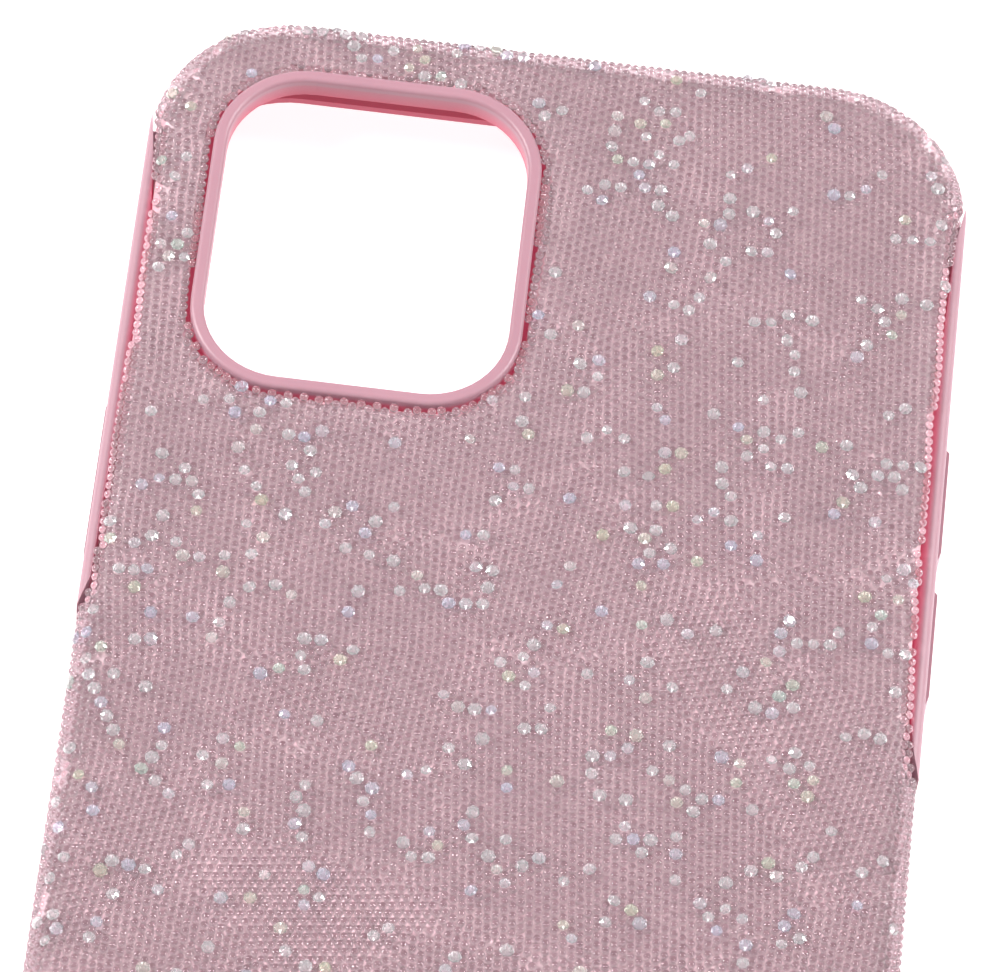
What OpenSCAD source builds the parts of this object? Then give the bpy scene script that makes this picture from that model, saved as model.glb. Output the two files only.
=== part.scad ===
// Two-part phone case: a soft bumper that holds the phone, and a hard shell clad in crystal fabric
// that clips over it. The case lies face down, so its back is up. The origin is under the middle of
// the case, on the plane that its front lip rests on. +Y runs to the camera end, +Z out of the back.

/* [Phone] */
// Width of the phone
phone_w = 71.5; // [64:0.1:80]
// Length of the phone
phone_l = 146.7; // [130:0.1:165]
// Thickness of the phone
phone_t = 7.4; // [6.8:0.1:8.6]
// Corner radius of the phone, seen from the back
phone_r = 10.75; // [9:0.05:12]

/* [Bumper] */
// Room between the phone and the bumper, on each side
phone_gap = 0.1; // [0.05:0.05:0.3]
// Thickness of the bumper's wall under the shell
wall = 1; // [0.9:0.05:1.4]
// Thickness of the bumper's back
back = 0.6; // [0.55:0.05:0.8]
// Height of the lip in front of the screen
lip = 1; // [0.6:0.1:1.4]
// Reach of the lip over the edge of the screen
lip_reach = 0.8; // [0.5:0.1:1.2]
// Height of the foot that the shell's edge stands on
foot = 2.2; // [1.8:0.1:2.6]
// How far the side pads stand proud of the crystal face
pad_proud = 0.1; // [0.05:0.05:0.4]
// Top of the rounded side pads, below the shell's outer face
pad_drop = 0.35; // [0.2:0.05:0.6]

/* [Camera opening] */
// Width of the camera opening
camera_w = 28.25; // [24:0.05:32]
// Length of the camera opening
camera_l = 32.2; // [26:0.1:36]
// Corner radius of the camera opening
camera_r = 7.5; // [5:0.1:9]
// Distance of the opening's middle from the case's middle
camera_x = -16.85; // [-18:0.05:-15]
// Distance of the opening's far edge from the top end of the case
camera_top = 7.5; // [7:0.1:9]
// Thickness of the raised ring round the opening
ring = 1.25; // [1:0.05:1.5]
// Groove between the ring and the shell
ring_groove = 0.45; // [0.3:0.05:0.6]
// How far the ring stands above the crystal face
ring_proud = 0.25; // [0.1:0.05:0.4]

/* [Shell and cladding] */
// Gap between the bumper and the shell
shell_gap = 0.1; // [0.1:0.05:0.2]
// Thickness of the hard shell
shell = 0.6; // [0.5:0.05:0.8]
// Thickness of the adhesive film
film = 0.05; // [0.05:0.01:0.1]
// Thickness of the carrier fabric
fabric = 0.1; // [0.1:0.01:0.2]
// Height of the glass beads above the fabric
beads = 0.7; // [0.5:0.05:0.8]
// Radius of the rounded edge of the back, on the crystal face
edge_r = 2.75; // [2.2:0.05:3]
// Distance of the windows' straight edges from the crystal face
window_inset = 1.45; // [1.4:0.05:1.7]

/* [Crystal stones] */
// Width of a stone across its corners
stone_d = 1.5; // [1.2:0.1:1.8]
// Distance between neighbouring stones before they are shifted
stone_pitch = 8.6; // [7:0.2:12]

/* [Buttons] */
// Length of a volume button
volume_l = 12.2; // [9:0.1:13]
// Length of the side button
side_l = 17; // [12:0.1:19]
// Height of every button
button_h = 4.2; // [3.6:0.1:4.6]
// How far a volume button stands out of its pad
volume_proud = 0.4; // [0.2:0.05:0.5]
// How far the side button stands out of its pad
side_proud = 0.2; // [0.15:0.05:0.4]
// Middle of the volume-up button, towards the camera end
volume_up_y = 33; // [28:0.1:36]
// Middle of the volume-down button, towards the camera end
volume_down_y = 18; // [12:0.1:21]
// Middle of the side button, from the case's middle towards the camera end
side_y = 25; // [22:0.1:28]
// Middle of the mute switch's opening, from the case's middle towards the camera end
mute_y = 49; // [47:0.1:51]

/* [Bottom end] */
// Width of the opening for the charging plug
port_w = 12.4; // [10:0.2:14]
// Height of the opening for the charging plug
port_h = 6; // [5:0.2:6.4]
// Length of each speaker slot
speaker_l = 10.5; // [8:0.5:12]
// Distance of each speaker slot's middle from the case's middle
speaker_x = 16; // [14:0.5:18]

/* [Hidden] */
$fn = 96;

// The pocket that the phone lies in
pocket_w = phone_w + 2*phone_gap;
pocket_l = phone_l + 2*phone_gap;
pocket_r = phone_r + phone_gap;
pocket_top = lip + phone_t + phone_gap;

// Distances out from the pocket's wall, at each layer's outer face
out_shell = wall + shell_gap + shell;
out_film = out_shell + film;
out_fabric = out_film + fabric;
out_beads = out_fabric + beads;
out_pad = out_beads + pad_proud;

// Heights of each layer's outer face
top_bumper = pocket_top + back;
top_shell = top_bumper + shell_gap + shell;
top_film = top_shell + film;
top_fabric = top_film + fabric;
top_beads = top_fabric + beads;
top_ring = top_beads + ring_proud;
top_pad = top_shell - pad_drop;

half_w = pocket_w/2 + out_beads;
half_l = pocket_l/2 + out_beads;
clad_foot = foot + shell_gap;
camera_y = half_l - camera_top - camera_l/2;
mid_z = lip + phone_t/2;
// How far a cutting solid runs past the faces it cuts
cut = 1;
// How far the rim of a block reaches in from the pocket's wall
rim_inner = 4;

// Windows in the shell, each a list of [distance along the edge from its middle, inset from the
// crystal face]
right_window = [[3.7, 0], [6, 0.62], [9, 1.05], [17, 1.5], [38, 1.5], [50, 1.15], [60, 0.75], [64.5, 0]];
left_window = [[11.3, 0], [14, 0.8], [30, 1.05], [44, 1.35], [53, 1.3], [59, 0.75], [64.5, 0]];
bottom_window = [[-24, 0], [-22.6, 0.8], [-20.5, window_inset], [20.5, window_inset], [22.6, 0.8], [24, 0]];
// Below the shell's round edge a side window goes right through the wall, from a little past its ends
window_ledge = top_shell - 1.6;
window_step = 1.8;

// The mute switch's opening in the bumper
mute_l = 7.4;
mute_h = 3.8;
speaker_h = 2;

// A button is a cap in a pocket of the pad, a stem through the thin web, and a key behind it
button_room = 0.2;
button_travel = 0.4;
cap_t = 1.2;
cap_edge = 0.3;
cap_ramp = 1.4;
web_recess = 0.6;
key_t = 0.5;
key_h = 2.4;
stem_r = 0.9;
stem_room = 0.1;

// A filled rectangle with round corners
module rounded_rect(w, l, r) {
    square([w - 2*r, l], center = true);
    square([w, l - 2*r], center = true);
    for (x = [-1, 1], y = [-1, 1]) translate([x*(w/2 - r), y*(l/2 - r)]) circle(r);
}

// The child's section, carried round a rectangle with round corners. The section's x runs outwards
// from the rectangle's edge, and its y runs up.
module carry_round(w, l, r) {
    for (a = [0, 1, 2, 3]) {
        along = a%2 == 0 ? l : w;
        across = a%2 == 0 ? w : l;
        rotate([0, 0, 90*a]) {
            translate([across/2, along/2 - r, 0]) rotate([90, 0, 0]) linear_extrude(along - 2*r) children();
            translate([across/2 - r, along/2 - r, 0]) rotate_extrude(angle = 90) translate([r, 0]) children();
        }
    }
}

// Section of the rim of a solid block, with a round upper edge
module rim_section(out, low, high, r) {
    translate([-rim_inner, low]) square([rim_inner + out - r, high - low]);
    translate([out - r, low]) square([r, high - r - low]);
    intersection() {
        translate([out - r, high - r]) circle(r);
        translate([out - r, high - r]) square(r);
    }
}

// A solid block of the pocket's outline, grown outwards, with a round upper edge
module block(out, low, high, r) {
    core = rim_inner - 1;
    carry_round(pocket_w, pocket_l, pocket_r) rim_section(out, low, high, r);
    translate([0, 0, low]) linear_extrude(high - low)
        rounded_rect(pocket_w - 2*core, pocket_l - 2*core, pocket_r - core);
}

// Plan of a window. At a positive side the list runs up the right-hand edge, at a negative side the left
module side_window(points, side, grow) {
    first = points[0][0];
    last = points[len(points) - 1][0];
    edge = [for (p = points) [side*(half_w - p[1] - grow), p[0] + sign(2*p[0] - first - last)*grow]];
    far = side*(half_w + 10);
    polygon(concat(edge, [[far, last + grow], [far, first - grow]]));
}

module end_window(points, grow) {
    edge = [for (p = points) [p[0] + sign(p[0])*grow, p[1] + grow - half_l]];
    last = points[len(points) - 1][0] + grow;
    polygon(concat(edge, [[last, -half_l - 10], [-last, -half_l - 10]]));
}

// The lower part of a side window: the same stretch of the edge, a step shorter and at its full inset
function deep_window(points) =
    let (first = points[0][0] + window_step, last = points[len(points) - 1][0] - window_step)
    [[first, 0], [first + 0.5, window_inset], [last - 0.5, window_inset], [last, 0]];

module windows(grow) {
    translate([0, 0, -cut]) linear_extrude(top_ring + 2*cut) {
        side_window(right_window, 1, grow);
        side_window(left_window, -1, grow);
        end_window(bottom_window, grow);
    }
    translate([0, 0, -cut]) linear_extrude(window_ledge + cut + grow) {
        side_window(deep_window(right_window), 1, grow);
        side_window(deep_window(left_window), -1, grow);
    }
}

module camera_hole(grow) {
    translate([camera_x, camera_y, -cut]) linear_extrude(top_ring + 2*cut)
        rounded_rect(camera_w + 2*grow, camera_l + 2*grow, camera_r + grow);
}

// One layer of the shell and its cladding: the space between two blocks, with the openings cut out
module layer(out, high, thick) {
    outer_r = edge_r - (out_beads - out);
    difference() {
        block(out, clad_foot, high, outer_r);
        block(out - thick, clad_foot - cut, high - thick, outer_r - thick);
        camera_hole(ring + ring_groove);
        windows(shell_gap);
    }
}

// A stadium-shaped hole or plate, long in its first direction
module slot_plan(l, h) {
    square([l - h, h], center = true);
    for (x = [-1, 1]) translate([x*(l - h)/2, 0]) circle(h/2);
}

// A plate or hole across the side wall: long in Y, high in Z, from x0 to x1 on the given side
module across_side(side, y, x0, x1) {
    translate([side*(x0 + x1)/2, y, mid_z]) rotate([90, 0, 90]) linear_extrude(x1 - x0, center = true) children();
}

// The same through the bottom end: long in X, high in Z
module across_bottom(x) {
    translate([x, -half_l - cut, mid_z]) rotate([-90, 0, 0]) linear_extrude(out_pad + 3*cut) children();
}

// Foot and lip of the bumper: a rounded band round the front, with the lip reaching over the screen
module foot_section() {
    round_r = 0.9;
    translate([-lip_reach, 0.3]) square([lip_reach + cut/2, lip - 0.3]);
    translate([-lip_reach + 0.3, 0]) square([lip_reach + out_beads - round_r - 0.3, lip]);
    translate([-lip_reach + 0.3, 0.3]) circle(0.3);
    translate([0, round_r]) square([out_beads, foot - round_r]);
    translate([out_beads - round_r, round_r]) circle(round_r);
    translate([0, 0.3]) square([out_beads - round_r, foot - 0.3]);
}

// Side pad: an upright band with a full round top, standing against the bumper's wall
module pad_section() {
    half = (out_pad - wall)/2;
    translate([wall, foot]) square([2*half, top_pad - half - foot]);
    translate([wall + half, top_pad - half]) circle(half);
}

module ring_section() {
    round_r = 0.4;
    translate([0, pocket_top]) square([ring, top_ring - round_r - pocket_top]);
    translate([round_r, pocket_top]) square([ring - 2*round_r, top_ring - pocket_top]);
    for (x = [round_r, ring - round_r]) translate([x, top_ring - round_r]) circle(round_r);
}

// What a button needs in the bumper: a pocket for its cap, a hole for its stem, a recess for its key
module button_seat(side, y, l, proud) {
    wall_x = pocket_w/2;
    pad_x = wall_x + out_pad;
    across_side(side, y, pad_x + proud - cap_t - button_travel - 0.05, pad_x + cut)
        square([l + 2*button_room, button_h + 2*button_room], center = true);
    across_side(side, y, wall_x - cut, pad_x) circle(stem_r + stem_room);
    across_side(side, y, wall_x - cut, wall_x + web_recess) slot_plan(l/2 + 2*button_room, key_h + 2*button_room);
}

module bumper() color([0.87, 0.60, 0.68]) difference() {
    union() {
        block(wall, lip, top_bumper, edge_r - (out_beads - wall));
        carry_round(pocket_w, pocket_l, pocket_r) foot_section();
        intersection() {
            carry_round(pocket_w, pocket_l, pocket_r) pad_section();
            windows(0);
        }
        translate([camera_x, camera_y, 0]) carry_round(camera_w, camera_l, camera_r) ring_section();
    }
    translate([0, 0, lip]) linear_extrude(phone_t + phone_gap) rounded_rect(pocket_w, pocket_l, pocket_r);
    translate([0, 0, -cut]) linear_extrude(lip + 2*cut)
        rounded_rect(pocket_w - 2*lip_reach, pocket_l - 2*lip_reach, pocket_r - lip_reach);
    camera_hole(0);
    button_seat(1, volume_up_y, volume_l, volume_proud);
    button_seat(1, volume_down_y, volume_l, volume_proud);
    button_seat(-1, side_y, side_l, side_proud);
    across_side(1, mute_y, pocket_w/2 - cut, pocket_w/2 + out_pad + cut) slot_plan(mute_l, mute_h);
    across_bottom(0) slot_plan(port_w, port_h);
    for (s = [-1, 1]) across_bottom(s*speaker_x) slot_plan(speaker_l, speaker_h);
}

module hard_shell() color([0.93, 0.80, 0.84]) layer(out_shell, top_shell, shell);

module adhesive_film() color([0.95, 0.90, 0.90]) layer(out_film, top_film, film);

module carrier_fabric() color([0.88, 0.62, 0.70]) layer(out_fabric, top_fabric, fabric);

module glass_beads() color([0.80, 0.65, 0.69]) layer(out_beads, top_beads, beads);

// Six-sided stones on the flat of the back, each shifted from its place in an even grid
module crystal_stones() {
    flat_w = 2*(half_w - edge_r - stone_d);
    flat_l = 2*(half_l - edge_r - stone_d);
    columns = floor(flat_w/stone_pitch);
    rows = floor(flat_l/stone_pitch);
    shifts = rands(-0.3, 0.3, 2*columns*rows, 7);
    color([0.95, 0.92, 0.94])
    for (i = [0 : columns - 1], j = [0 : rows - 1]) {
        k = 2*(i*rows + j);
        x = (i + 0.5 + shifts[k])*flat_w/columns - flat_w/2;
        y = (j + 0.5 + shifts[k + 1])*flat_l/rows - flat_l/2;
        near_camera = abs(x - camera_x) < camera_w/2 + ring + ring_groove + stone_d
            && abs(y - camera_y) < camera_l/2 + ring + ring_groove + stone_d;
        if (!near_camera) translate([x, y, top_beads]) cylinder(h = ring_proud, d = stone_d, $fn = 6);
    }
}

// A button: a cap with a ramp at its lower end, its stem, and the key that presses on the phone
module button(side, y, l, proud) {
    wall_x = pocket_w/2;
    face_x = wall_x + out_pad + proud;
    back_x = face_x - cap_t;
    translate([0, y, mid_z - button_h/2]) linear_extrude(button_h)
        polygon([for (p = [[back_x, -l/2], [face_x - proud, -l/2], [face_x, cap_ramp - l/2],
                           [face_x, l/2 - cap_edge], [face_x - cap_edge, l/2], [back_x, l/2]]) [side*p[0], p[1]]]);
    across_side(side, y, wall_x + web_recess - key_t/2, back_x + cap_t/2) circle(stem_r);
    across_side(side, y, wall_x + web_recess - key_t, wall_x + web_recess - 0.05) slot_plan(l/2, key_h);
}

module volume_up_button() color([0.87, 0.66, 0.74]) button(1, volume_up_y, volume_l, volume_proud);

module volume_down_button() color([0.87, 0.66, 0.74]) button(1, volume_down_y, volume_l, volume_proud);

module side_button() color([0.87, 0.66, 0.74]) button(-1, side_y, side_l, side_proud);

bumper();
hard_shell();
adhesive_film();
carrier_fabric();
glass_beads();
crystal_stones();
volume_up_button();
volume_down_button();
side_button();
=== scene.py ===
# A phone case in crystal fabric, lying face down on a pale table: a soft bumper with its buttons, and
# over it a hard shell clad in a cloth of glass beads and cut stones.
import math

import bpy
import numpy as np
from mathutils import Matrix, Vector, kdtree


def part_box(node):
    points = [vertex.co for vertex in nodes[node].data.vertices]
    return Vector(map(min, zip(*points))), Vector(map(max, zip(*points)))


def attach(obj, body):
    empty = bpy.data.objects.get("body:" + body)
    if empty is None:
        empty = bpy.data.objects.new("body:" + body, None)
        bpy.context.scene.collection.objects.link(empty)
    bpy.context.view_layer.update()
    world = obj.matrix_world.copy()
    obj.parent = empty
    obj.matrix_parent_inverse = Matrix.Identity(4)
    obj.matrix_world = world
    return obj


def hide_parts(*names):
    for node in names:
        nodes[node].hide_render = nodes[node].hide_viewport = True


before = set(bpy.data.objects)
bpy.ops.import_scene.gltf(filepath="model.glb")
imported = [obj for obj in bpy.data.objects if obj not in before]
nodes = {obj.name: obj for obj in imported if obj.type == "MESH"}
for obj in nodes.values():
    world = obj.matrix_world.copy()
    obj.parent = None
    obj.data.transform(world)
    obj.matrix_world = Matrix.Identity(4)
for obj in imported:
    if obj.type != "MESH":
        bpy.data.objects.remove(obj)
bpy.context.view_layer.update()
MM = 0.001


# The bumper is one soft moulding of clear-dyed pink elastomer: wall, thin back, lip, camera ring and
# side pads. It comes out of a finely blasted mould, so it has a satin skin with a very fine grain.
class Wire:
    """A socket in a material's node tree. Sums and products of wires add the Math nodes they need."""

    def __init__(self, tree, socket=None):
        self.tree, self.socket = tree, socket

    def add(self, kind, settings=(), inputs=(), out=0):
        """Adds any node: its type, its settings, its sockets' values or wires. Gives one of its outputs."""
        node = self.tree.nodes.new(kind)
        for name, value in dict(settings).items():
            if name == "stops":
                ramp = node.color_ramp.elements
                while len(ramp) < len(value):
                    ramp.new(0.5)
                for stop, (place, colour) in zip(ramp, value):
                    stop.position, stop.color = place, colour
            else:
                setattr(node, name, value)
        for name, value in dict(inputs).items():
            if isinstance(value, Wire):
                self.tree.links.new(value.socket, node.inputs[name])
            else:
                node.inputs[name].default_value = value
        return Wire(self.tree, node.outputs[out]) if node.outputs else None

    def math(self, operation, *values):
        return self.add("ShaderNodeMath", {"operation": operation}, dict(enumerate(values)))

    def __add__(self, other):
        return self.math("ADD", self, other)

    def __sub__(self, other):
        return self.math("SUBTRACT", self, other)

    def __rsub__(self, other):
        return self.math("SUBTRACT", other, self)

    def __mul__(self, other):
        return self.math("MULTIPLY", self, other)

    __radd__, __rmul__ = __add__, __mul__

    def vector(self, operation, *values):
        return self.add("ShaderNodeVectorMath", {"operation": operation}, dict(enumerate(values)))

    def between(self, low, high, to_low=0.0, to_high=1.0):
        """This value, carried from low..high to to_low..to_high and held there."""
        names = ("Value", "From Min", "From Max", "To Min", "To Max")
        return self.add("ShaderNodeMapRange", {}, dict(zip(names, (self, low, high, to_low, to_high))))

    def mix(self, first, second):
        """Goes from the first colour to the second as this value goes from 0 to 1."""
        return self.add("ShaderNodeMix", {"data_type": "RGBA"}, {0: self, 6: first, 7: second}, out=2)

    def noise(self, scale, detail=2.0):
        """Cloudy variation, on the piece's own coordinates."""
        place = self.add("ShaderNodeTexCoord", out=3)
        return self.add("ShaderNodeTexNoise", {}, {"Vector": place, "Scale": scale, "Detail": detail})

    def attribute(self, name):
        return self.add("ShaderNodeAttribute", {"attribute_name": name}, out=2)

    def bump(self, height, depth):
        """A normal raised by height, whose full swing is depth in metres."""
        return self.add("ShaderNodeBump", {}, {"Strength": 1.0, "Distance": depth, "Height": height})


def finish(name, sockets):
    """A material with one Principled shader. sockets takes a start wire and gives the shader's inputs."""
    material = bpy.data.materials.new(name)
    material.use_nodes = True
    tree = material.node_tree
    tree.nodes.clear()
    start = Wire(tree)
    shader = start.add("ShaderNodeBsdfPrincipled", {}, sockets(start))
    start.add("ShaderNodeOutputMaterial", {}, {"Surface": shader})
    return material


def rgb(red, green, blue):
    return (red, green, blue, 1.0)


camera_middle = (-16.85 * MM, 52.4 * MM)
camera_half = (14.125 * MM, 16.1 * MM)
camera_r = 7.5 * MM
ring_and_groove = 1.7 * MM
case_half = (38.4 * MM, 76.0 * MM)
case_r = 13.4 * MM


def soft_elastomer(start):
    """Satin pink, with painted shade and painted glow. The colour is painted a deeper red low down,
    in the grooves beside the pads and round the ring and inside the case, in place of the shade there;
    a faint pink emission all over and a red one in those grooves stand in for light through the soft walls."""
    place = start.add("ShaderNodeTexCoord", out=3)
    z = start.add("ShaderNodeSeparateXYZ", {}, {"Vector": place}, out=2)

    def outside(middle, half, radius):
        """How far this spot is outside a rounded rectangle, in plan."""
        reach = start.vector("ABSOLUTE", start.vector("SUBTRACT", place, (*middle, 0.0)))
        reach = start.vector("SUBTRACT", reach, (half[0] - radius, half[1] - radius, 1.0))
        reach = start.vector("MAXIMUM", reach, (0.0, 0.0, 0.0))
        return start.add("ShaderNodeVectorMath", {"operation": "LENGTH"}, {0: reach}, out=1) - radius

    from_hole, from_side = outside(camera_middle, camera_half, camera_r), outside((0, 0), case_half, case_r)
    on_ring = from_hole.between(1.27 * MM, 1.33 * MM, 1.0, 0.0) * z.between(9.5 * MM, 10.2 * MM)
    below = z.between(8.4 * MM, 10.6 * MM, 1.0, 0.15)
    set_back = from_side.between(-1.1 * MM, -0.7 * MM, 1.0, 0.0) * z.between(0.03 * MM, 0.1 * MM)
    # Painted shade: a deeper red lower down, in from the outer wall and off the ring's crest.
    painted_shade = start.math("MINIMUM", 1 - on_ring, below) * set_back
    outer = start.math("MAXIMUM", z.between(8.3 * MM, 8.8 * MM), from_side.between(-2.2 * MM, -1.8 * MM))
    # Painted glow mask: the grooves of the painted shade, clear of the camera hole.
    painted_glow = painted_shade * outer * from_hole.between(0.1 * MM, 0.5 * MM)
    cloud, grain = start.noise(60.0), start.noise(6500.0, 1.0)
    skin = cloud.between(0.3, 0.7).mix(rgb(0.27, 0.145, 0.175), rgb(0.30, 0.165, 0.195))
    return {
        # Painted shade: the deep red colour goes where the painted shade mask is high.
        "Base Color": painted_shade.mix(skin, rgb(0.42, 0.040, 0.085)),
        "Roughness": grain.between(0.2, 0.8, 0.36, 0.5),
        # Painted glow: a faint pink emission all over, and a red one in the shaded grooves.
        "Emission Color": painted_glow.mix(rgb(0.10, 0.042, 0.056), rgb(0.24, 0.012, 0.04)),
        "Emission Strength": 1.0,
        "Sheen Weight": 0.25,
        "Sheen Roughness": 0.4,
        "Sheen Tint": rgb(0.95, 0.88, 1.0),
        "Subsurface Weight": 0.15,
        "Subsurface Radius": (1.0, 0.35, 0.3),
        "Subsurface Scale": 0.0008,
        "IOR": 1.5,
        "Normal": start.bump(grain, 0.006 * MM),
    }


def dress(node, material):
    """Gives a CAD node its finish."""
    nodes[node].data.materials.clear()
    nodes[node].data.materials.append(material)
    for face in nodes[node].data.polygons:
        face.use_smooth = True
    nodes[node].data.set_sharp_from_angle(angle=math.radians(50))


def ease(piece, width, segments):
    """Rounds a moulded piece's sharp edges, as the mould's own edges are."""
    edge = piece.modifiers.new("eased", "BEVEL")
    edge.width, edge.segments = width, segments
    edge.limit_method, edge.angle_limit = "ANGLE", math.radians(40)


elastomer = finish("soft_elastomer", soft_elastomer)
dress("bumper", elastomer)


# The three buttons are caps of the same elastomer, each in a pocket of its pad, with a stem through
# the web behind it. Their skin is handled more, so it is a little smoother than the bumper's.
def button_elastomer(start):
    # The caps keep the bumper's painted shade and painted glow; only their roughness changes.
    inputs = soft_elastomer(start)
    inputs["Roughness"] = start.noise(900.0).between(0.3, 0.7, 0.3, 0.42)
    return inputs


cap_finish = finish("button_elastomer", button_elastomer)
for cap in ("volume_up_button", "volume_down_button", "side_button"):
    dress(cap, cap_finish)
    ease(nodes[cap], 0.3 * MM, 4)


# The hard shell is a thin polycarbonate moulding that clips over the bumper. Only its cut edges and
# its inside show, once it is clad. They have a painted glow, a faint red emission in place of the light
# that comes through the thin wall.
def shell_plastic(start):
    cloud = start.noise(80.0)
    return {
        "Base Color": cloud.between(0.3, 0.7).mix(rgb(0.50, 0.20, 0.26), rgb(0.56, 0.25, 0.31)),
        "Roughness": cloud.between(0.3, 0.7, 0.16, 0.24),
        # Painted glow: constant red emission standing in for light through the wall.
        "Emission Color": rgb(0.16, 0.03, 0.05),
        "Emission Strength": 1.0,
        "IOR": 1.58,
    }


dress("hard_shell", finish("shell_plastic", shell_plastic))


# A film of clear contact adhesive bonds the cloth to the shell. It shows as a thin milky line at the
# cut edges.
def adhesive(start):
    cloud = start.noise(300.0)
    return {
        "Base Color": cloud.between(0.3, 0.7).mix(rgb(0.55, 0.30, 0.35), rgb(0.62, 0.38, 0.42)),
        "Roughness": cloud.between(0.3, 0.7, 0.25, 0.4),
    }


dress("adhesive_film", finish("adhesive", adhesive))


# The carrier is a close-woven pink cloth, cut to the shell's outline and stretched round its edges.
# A thin coat of clear glue fills its weave and holds the beads.
bead_low, bead_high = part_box("glass_beads")
half_w, half_l, crest = bead_high[0], bead_high[1], bead_high[2]
shell_foot = bead_low[2]
edge_r = 2.75 * MM
corner_r = 13.4 * MM
quarter = edge_r * math.pi / 2
flat_half = (half_w - edge_r, half_l - edge_r)
flat_r = corner_r - edge_r
skirt = quarter + crest - edge_r - shell_foot
RIGHT_WINDOW = ((3.7, 0), (6, 0.62), (9, 1.05), (17, 1.5), (38, 1.5), (50, 1.15), (60, 0.75), (64.5, 0))
LEFT_WINDOW = ((11.3, 0), (14, 0.8), (30, 1.05), (44, 1.35), (53, 1.3), (59, 0.75), (64.5, 0))
END_TRIM, END_INSET = 0.45, 1.2
BOTTOM_WINDOW = ((-24, 0), (-22.6, 0.8), (-20.5, 1.45), (20.5, 1.45), (22.6, 0.8), (24, 0))


def round_box(points, half, radius):
    """Signed distance of plan points from a rectangle with round corners, and the outward direction."""
    side = np.where(points < 0, -1.0, 1.0)
    reach = np.abs(points) - (np.array(half) - radius)
    outside = np.maximum(reach, 0.0)
    length = np.hypot(outside[:, 0], outside[:, 1])
    inner = reach.max(axis=1)
    toward = np.where((reach[:, :1] > reach[:, 1:]), (1.0, 0.0), (0.0, 1.0))
    corner = length > 1e-12
    toward = np.where(corner[:, None], outside / np.maximum(length, 1e-12)[:, None], toward)
    return np.where(corner, length, inner) - radius, toward * side


def wrap(points, lift):
    """Carries points of the flat cloth round the shell. Gives their places and their normals."""
    away, toward = round_box(points, flat_half, flat_r)
    bend = np.clip(away / edge_r, 0.0, math.pi / 2)
    drop = np.maximum(away - quarter, 0.0)
    root = points - toward * np.maximum(away, 0.0)[:, None]
    normal = np.column_stack((toward * np.sin(bend)[:, None], np.cos(bend)))
    place = np.column_stack((root, np.full(len(points), crest - edge_r)))
    place = place + normal * (edge_r + lift)
    place[:, 2] -= drop
    return place, normal


def past_window(place):
    """How far places are past a window's cut edge, towards the outside. Below 0, the cloth covers
    them. The cloth is trimmed a little more where a window runs out, to clear the end of the pad."""
    x, y = place[:, 0] / MM, place[:, 1] / MM
    gaps = []
    for window, along, across in (
        (RIGHT_WINDOW, y, half_w / MM - x),
        (LEFT_WINDOW, y, half_w / MM + x),
        (BOTTOM_WINDOW, x, half_l / MM + y),
    ):
        steps, insets = np.array(window).T
        inset = np.interp(along, steps, insets, left=-9, right=-9)
        trim = END_TRIM * np.clip(1 - inset / END_INSET, 0, 1)
        gaps.append(inset + trim - across)
    return np.max(gaps, axis=0) * MM


def past_ring(points):
    """How far plan points are inside the shell's camera opening."""
    half = np.array(camera_half) + ring_and_groove
    return -round_box(points - np.array(camera_middle), half, camera_r + ring_and_groove)[0]


def on_cloth(points, margin):
    """Which points of the flat cloth lie on the shell, at least margin from every cut edge."""
    place, _ = wrap(points, 0.0)
    away, _ = round_box(points, flat_half, flat_r)
    return (away < skirt - margin) & (past_window(place) < -margin) & (past_ring(points) < -margin)


def mesh_piece(name, verts, faces, material, smooth=True, attributes=()):
    """A mesh from an array of places and an array of faces with equal numbers of corners."""
    mesh = bpy.data.meshes.new(name)
    corners = faces.shape[1]
    mesh.vertices.add(len(verts))
    mesh.vertices.foreach_set("co", verts.astype(np.float32).ravel())
    mesh.loops.add(faces.size)
    mesh.loops.foreach_set("vertex_index", faces.astype(np.int32).ravel())
    mesh.polygons.add(len(faces))
    mesh.polygons.foreach_set("loop_start", np.arange(0, faces.size, corners, dtype=np.int32))
    mesh.polygons.foreach_set("use_smooth", np.full(len(faces), smooth))
    for label, values in dict(attributes).items():
        layer = mesh.attributes.new(label, "FLOAT", "POINT")
        layer.data.foreach_set("value", values.astype(np.float32).ravel())
    mesh.update(calc_edges=True)
    mesh.validate()
    mesh.materials.append(material)
    piece = bpy.data.objects.new(name, mesh)
    bpy.context.scene.collection.objects.link(piece)
    return piece


def cloth_and_glue(start):
    cloud = start.noise(400.0)
    fine = start.noise(4000.0)
    return {
        "Base Color": cloud.between(0.3, 0.7).mix(rgb(0.66, 0.49, 0.53), rgb(0.74, 0.57, 0.60)),
        "Roughness": fine.between(0.3, 0.7, 0.2, 0.4),
        "Normal": start.bump(fine, 0.03 * MM),
    }


def make_cloth():
    """A grid of the flat cut, wrapped round the shell, less the openings' cells. Also its flat area."""
    cell = 0.5 * MM
    counts = np.ceil(2 * cut_half / cell).astype(int)
    xs, ys = (np.linspace(-h, h, n + 1) for h, n in zip(cut_half, counts))
    grid = np.stack(np.meshgrid(xs, ys, indexing="ij"), axis=-1).reshape(-1, 2)
    index = np.arange(len(grid)).reshape(len(xs), len(ys))
    faces = np.stack((index[:-1, :-1], index[1:, :-1], index[1:, 1:], index[:-1, 1:]), axis=-1)
    faces = faces.reshape(-1, 4)
    faces = faces[on_cloth(grid, 0.3 * MM)[faces].all(axis=1)]
    used, corners = np.unique(faces, return_inverse=True)
    places = wrap(grid[used], CLOTH_LIFT)[0]
    material = finish("cloth_and_glue", cloth_and_glue)
    piece = mesh_piece("carrier_cloth", places, corners.reshape(-1, 4), material)
    return piece, len(faces) * (xs[1] - xs[0]) * (ys[1] - ys[0])


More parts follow.
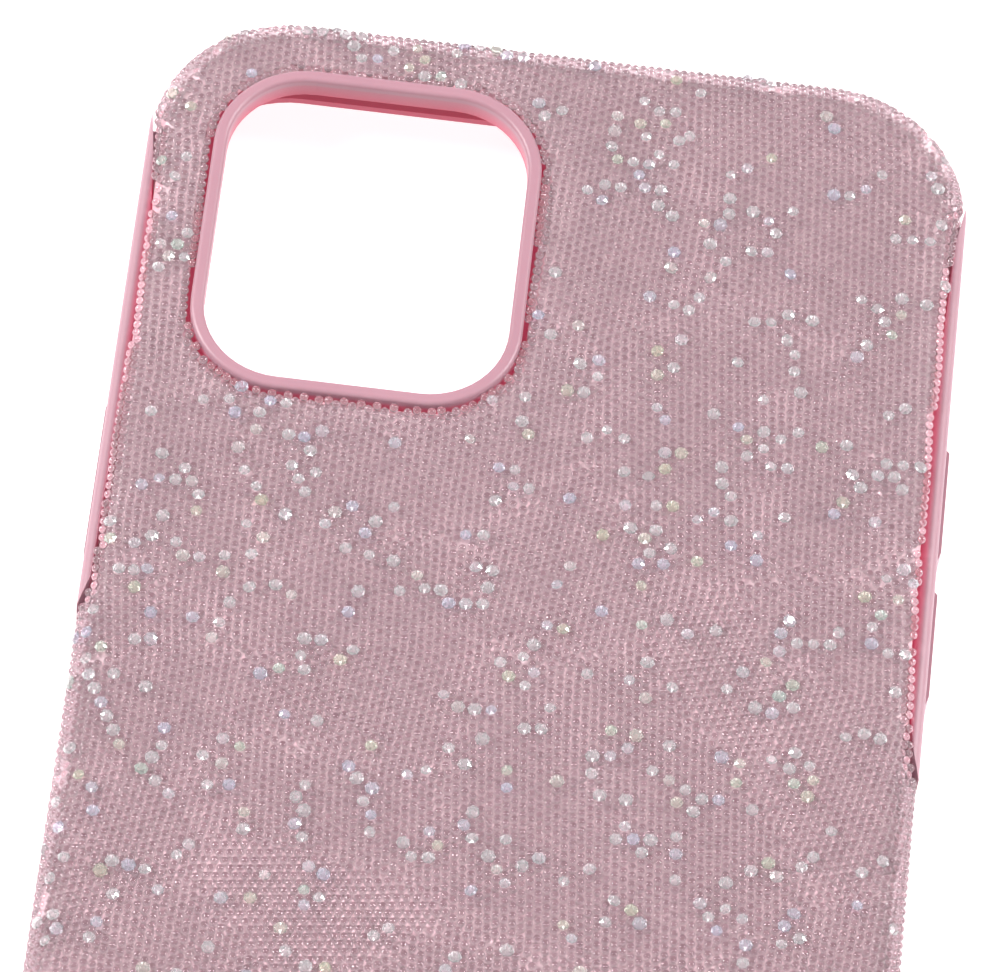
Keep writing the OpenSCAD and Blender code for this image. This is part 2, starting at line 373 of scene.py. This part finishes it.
CLOTH_LIFT = -0.7 * MM
cut_half = np.array(flat_half) + skirt
cloth, cloth_area = make_cloth()
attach(cloth, "shell")
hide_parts("carrier_fabric")
tuple(2 * cut_half)


# The beads are small round glass balls without holes, poured on the glue so that they pack themselves
# six round one, in patches whose rows lie at different slants. Single balls fill the gaps between.
chance = np.random.default_rng(11)
PITCH = 0.86 * MM
BEAD_R = 0.43 * MM
STONE_R = 0.66 * MM
EDGE_ROOM = -0.1 * MM
SETTLE_REACH = 1.2 * PITCH
SETTLE_GIVE = 0.3
STONE_STEP = 1.4 * MM
STONE_ROOM = 1.15 * MM
STONE_SEAT = 0.5 * MM


def tree_of(places):
    tree = kdtree.KDTree(len(places))
    for i, place in enumerate(places):
        tree.insert(place, i)
    tree.balance()
    return tree


def thin(points, places, room):
    """Drops each point that comes within room of one kept before it."""
    tree = tree_of(places)
    kept = np.ones(len(points), bool)
    for i, place in enumerate(places):
        if kept[i]:
            for _, j, _ in tree.find_range(place, room):
                if j > i:
                    kept[j] = False
    return points[kept]


def settle(points, rounds):
    """Lets balls push their neighbours off a little, so that they close the seams between the grains."""
    for _ in range(rounds):
        tree = tree_of([(*point, 0.0) for point in points])
        first, second = [], []
        for i, point in enumerate(points):
            near = [j for _, j, _ in tree.find_range((*point, 0.0), SETTLE_REACH) if j != i]
            first += [i] * len(near)
            second += near
        first, second = np.array(first), np.array(second)
        gap = points[first] - points[second]
        length = np.maximum(np.hypot(gap[:, 0], gap[:, 1]), 0.01 * MM)[:, None]
        push = gap / length * (SETTLE_REACH - length) * SETTLE_GIVE
        moved = points + np.stack([np.bincount(first, push[:, k], len(points)) for k in (0, 1)], axis=1)
        straight = (np.abs(moved) < np.array(flat_half) - flat_r).any(axis=1)
        flat = round_box(moved, flat_half, flat_r)[0] < 0
        points = np.where((on_cloth(moved, EDGE_ROOM) & (straight | flat))[:, None], moved, points)
    return points


def pack_beads():
    """Plan places of the balls: close-packed grains at slants of their own, then balls in the
    gaps left, and small ones in what is left of those. Also their radii."""
    grains, reach = 70, 21 * MM
    seeds = chance.uniform(-cut_half, cut_half, (grains, 2))
    owner = tree_of([(*seed, 0.0) for seed in seeds])
    span = int(reach / PITCH) + 2
    i, j = (k.ravel() for k in np.meshgrid(np.arange(-span, span), np.arange(-span, span), indexing="ij"))
    lattice = np.column_stack((i * math.sqrt(0.75), j + 0.5 * (i % 2))) * PITCH
    field = []
    for k, seed in enumerate(seeds):
        slant = chance.normal(0, math.radians(8))
        turn = np.array(((math.cos(slant), math.sin(slant)), (-math.sin(slant), math.cos(slant))))
        grain = lattice @ turn + seed + chance.uniform(0, PITCH, 2)
        field.append(grain[[owner.find((*spot, 0.0))[1] == k for spot in grain]])
    points = np.concatenate(field)
    points = points + chance.normal(0, 0.03 * PITCH, points.shape)
    points = points[on_cloth(points, EDGE_ROOM)]
    points = settle(thin(points, wrap(points, -BEAD_R)[0], 0.66 * MM), 6)
    points = thin(points, wrap(points, -BEAD_R)[0], 0.7 * MM)
    sizes = BEAD_R * chance.normal(1.0, 0.02, len(points)).clip(0.94, 1.03)
    xs, ys = (np.arange(-h, h, 0.2 * MM) for h in cut_half)
    spare = np.stack(np.meshgrid(xs, ys, indexing="ij"), axis=-1).reshape(-1, 2)
    spare = spare[on_cloth(spare, 0.15 * MM)]
    for size, room in ((BEAD_R, 0.72 * MM), (0.7 * BEAD_R, 0.58 * MM)):
        full = tree_of(wrap(points, -BEAD_R)[0])
        spare = spare[[full.find(place)[2] > room for place in wrap(spare, -BEAD_R)[0]]]
        extra = thin(spare, wrap(spare, -BEAD_R)[0], room)
        points = np.concatenate((points, extra))
        sizes = np.concatenate((sizes, np.full(len(extra), size)))
    return points, sizes


def seat_stones(beads, groups):
    """Plan places of the stones, in short loose rows. Each takes the seat of one ball."""
    spots = []
    for _ in range(groups):
        spot = chance.uniform(-cut_half, cut_half)
        heading = chance.uniform(0, 2 * math.pi)
        for _ in range(chance.choice((1, 2, 3, 4, 5), p=(0.5, 0.24, 0.14, 0.08, 0.04))):
            spots.append(spot.copy())
            heading += chance.normal(0, 0.7)
            spot = spot + STONE_STEP * np.array((math.cos(heading), math.sin(heading)))
    spots = np.array(spots)
    on_top = round_box(spots, flat_half, flat_r)[0] < 0.7 * quarter
    spots = spots[on_cloth(spots, 0.3 * MM) & on_top]
    tree = tree_of([(*bead, 0.0) for bead in beads])
    seats = np.unique([tree.find((*spot, 0.0))[1] for spot in spots])
    seats = beads[chance.permutation(seats)]
    return thin(seats, wrap(seats, -BEAD_R)[0], STONE_ROOM)


def clear_of(beads, stones, room):
    """Which balls keep room between their middles and every stone's."""
    tree = tree_of(wrap(stones, -BEAD_R)[0])
    return np.array([tree.find(place)[2] > room for place in wrap(beads, -BEAD_R)[0]])


def placed_copies(verts, faces, places, normals, sizes, tilts):
    """Copies of a small solid, stood on the cloth, spun at random and tilted."""
    count = len(places)
    spin = chance.uniform(0, 2 * math.pi, count)
    aside = np.cross(normals, np.where(np.abs(normals[:, 2:]) < 0.9, (0.0, 0.0, 1.0), (1.0, 0.0, 0.0)))
    aside /= np.linalg.norm(aside, axis=1)[:, None]
    ahead = np.cross(normals, aside)
    first = aside * np.cos(spin)[:, None] + ahead * np.sin(spin)[:, None]
    up = normals * np.cos(tilts)[:, None] + first * np.sin(tilts)[:, None]
    second = np.cross(up, first)
    second /= np.linalg.norm(second, axis=1)[:, None]
    first = np.cross(second, up)
    turn = chance.uniform(0, 2 * math.pi, count)
    cos, sin = np.cos(turn)[:, None], np.sin(turn)[:, None]
    first, second = first * cos + second * sin, second * cos - first * sin
    axes = np.stack((first, second, up), axis=1) * sizes[:, None, None]
    all_verts = np.einsum("vk,nkc->nvc", verts, axes) + places[:, None, :]
    all_faces = faces[None] + (np.arange(count) * len(verts))[:, None, None]
    return all_verts.reshape(-1, 3), all_faces.reshape(-1, faces.shape[1])


def turned(rings, sides, stagger):
    """A closed solid of rings of points, each (radius, height), as triangles. Radius 1 is its waist."""
    verts, faces = [], []
    for level, (radius, height) in enumerate(rings):
        for k in range(sides):
            angle = 2 * math.pi * (k + stagger * 0.5 * level) / sides
            verts.append((radius * math.cos(angle), radius * math.sin(angle), height))
    for level in range(len(rings) - 1):
        for k in range(sides):
            a, b = level * sides + k, level * sides + (k + 1) % sides
            faces.append((a, b, a + sides))
            faces.append((b, b + sides, a + sides))
    bottom = (len(rings) - 1) * sides
    for k in range(1, sides - 1):
        faces.append((0, k + 1, k))
        faces.append((bottom, bottom + k, bottom + k + 1))
    return np.array(verts), np.array(faces)[:, ::-1]


def bead_glass(start):
    """Rose glass, painted deeper in the middle of a ball and near white at its rim. The deeper middle is
    partly the glass's own tint, thicker there, and partly painted shade; the pale rim is painted light,
    standing in for the light the glass lets through at its edge.
    """
    rise, shade = start.attribute("rise"), start.attribute("shade")
    core = shade.mix(rgb(0.52, 0.32, 0.37), rgb(0.68, 0.46, 0.51))
    haze = start.noise(900.0)
    return {
        # Painted light and shade: near white at each ball's rim, deeper rose towards its middle.
        "Base Color": rise.between(0.4, 0.85).mix(rgb(1.0, 0.90, 0.93), core),
        "Roughness": haze.between(0.3, 0.7, 0.02, 0.09),
        "IOR": 1.52,
        "Transmission Weight": 0.82,
    }


bead_plan, bead_sizes = pack_beads()
stone_plan = seat_stones(bead_plan, 1000)
kept = clear_of(bead_plan, stone_plan, STONE_SEAT)
bead_plan, bead_sizes = bead_plan[kept], bead_sizes[kept]
bead_place, bead_normal = wrap(bead_plan, -BEAD_R)
rings = [(math.sin(a), math.cos(a)) for a in np.radians((14, 42, 70, 98, 135))]
bead_verts, bead_faces = turned(rings, 8, 0)
bead_shade = chance.normal(0.5, 0.22, len(bead_plan)).clip(0, 1)
bead_finish = finish("bead_glass", bead_glass)
LOTS = 8
lots = np.minimum((LOTS * (bead_plan[:, 1] / half_l / 2 + 0.5)).astype(int).clip(0), LOTS - 1)
for lot in range(LOTS):
    mine = lots == lot
    count = int(mine.sum())
    verts, faces = placed_copies(bead_verts, bead_faces, bead_place[mine], bead_normal[mine],
                                 bead_sizes[mine], np.zeros(count))
    rise = np.tile(bead_verts[:, 2], count)
    shade = np.repeat(bead_shade[mine], len(bead_verts))
    beads = mesh_piece(f"glass_beads_{lot + 1}", verts, faces, bead_finish,
                       attributes={"rise": rise, "shade": shade})
    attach(beads, "shell")
    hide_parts("glass_beads")


# The cut stones are clear glass chatons with a faint pearly coat, strewn singly, in twos and in short
# rows. Each has a table, a crown of facets and a short pavilion, and none lies quite level.
def stone_glass(start):
    tint = start.attribute("tint")
    pearl = {"stops": (
        (0.0, rgb(0.94, 0.89, 0.91)),
        (0.5, rgb(0.95, 0.91, 0.93)),
        (0.62, rgb(0.86, 0.84, 0.97)),
        (0.80, rgb(0.98, 0.90, 0.93)),
        (0.93, rgb(0.93, 0.90, 0.76)),
        (1.0, rgb(0.86, 0.94, 0.90)),
    )}
    haze = start.noise(1500.0)
    return {
        "Base Color": start.add("ShaderNodeValToRGB", pearl, {"Fac": tint}),
        "Roughness": haze.between(0.3, 0.7, 0.02, 0.12),
        "IOR": 1.6,
        "Transmission Weight": 0.84,
        "Coat Weight": 1.0,
        "Coat IOR": 1.7,
        "Coat Roughness": 0.02,
    }


stone_place, stone_normal = wrap(stone_plan, -0.1 * MM)
stone_sizes = STONE_R * chance.uniform(0.82, 1.08, len(stone_plan))
verts, faces = turned(((0.55, 0.45), (1.0, 0.0), (0.35, -0.8)), 7, 1)
tilts = np.abs(chance.normal(0, 0.16, len(stone_plan)))
all_verts, all_faces = placed_copies(verts, faces, stone_place, stone_normal, stone_sizes, tilts)
tints = np.repeat(chance.uniform(0, 1, len(stone_plan)), len(verts))
stones = mesh_piece("crystal_stones_cut", all_verts, all_faces, finish("stone_glass", stone_glass),
                    smooth=False, attributes={"tint": tints})
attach(stones, "shell")
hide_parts("crystal_stones")


# The table is a wide, plain, pale board. The light is that of a white studio tent with one large soft
# box at each side, a weak one in front, and two small lamps that the stones catch.
def table_top(start):
    cloud = start.noise(3.0)
    return {
        "Base Color": cloud.between(0.3, 0.7).mix(rgb(0.58, 0.58, 0.58), rgb(0.62, 0.62, 0.62)),
        "Roughness": cloud.between(0.3, 0.7, 0.55, 0.65),
        "Emission Color": rgb(1.0, 1.0, 1.0),
        "Emission Strength": 0.8,
    }


table_half = 4.0
table = mesh_piece("table", np.array([(-1, -1, 0), (1, -1, 0), (1, 1, 0), (-1, 1, 0)]) * table_half,
                   np.array([(0, 1, 2, 3)]), finish("table_top", table_top))

world = bpy.data.worlds.new("studio")
bpy.context.scene.world = world
world.use_nodes = True
world.node_tree.nodes["Background"].inputs["Color"].default_value = rgb(1.0, 1.0, 1.0)
world.node_tree.nodes["Background"].inputs["Strength"].default_value = 0.33

focus = Vector((0, 0.02, 0.01))


def lamp(name, place, size, power):
    light = bpy.data.lights.new(name, "AREA")
    light.shape, light.size, light.energy = "DISK", size, power
    holder = bpy.data.objects.new(name, light)
    bpy.context.scene.collection.objects.link(holder)
    holder.location = focus + Vector(place)
    holder.rotation_euler = (-Vector(place)).to_track_quat("-Z", "Y").to_euler()


lamp("softbox_left", (-0.95, 0.15, 0.7), 0.5, 21.5)
lamp("softbox_right", (0.95, 0.25, 0.7), 0.5, 18.5)
lamp("softbox_front", (0.1, -1.1, 0.8), 0.5, 4.0)
lamp("glint_left", (-0.55, -0.1, 0.7), 0.06, 0.8)
lamp("glint_right", (0.5, 0.35, 0.8), 0.06, 0.8)

bpy.context.scene.view_settings.view_transform = "Standard"

lens = bpy.data.cameras.new("camera")
lens.lens = 259.75
camera = bpy.data.objects.new("camera", lens)
bpy.context.scene.collection.objects.link(camera)
bpy.context.scene.camera = camera
tilt, swing, roll = (math.radians(a) for a in (29.704, 0.335, 6.463))
target = Vector((-1.88 * MM, 27.57 * MM, crest))
back = Vector((math.sin(swing) * math.sin(tilt), -math.cos(swing) * math.sin(tilt), math.cos(tilt)))
right = Vector((math.cos(swing), math.sin(swing), 0))
up = back.cross(right)
across = right * math.cos(roll) + up * math.sin(roll)
along = up * math.cos(roll) - right * math.sin(roll)
distance = 656.3
turned_to = Matrix((across, along, back)).transposed().to_4x4()
camera.matrix_world = Matrix.Translation(target + back * distance * MM) @ turned_to
lens.clip_start, lens.clip_end = 0.01, 20
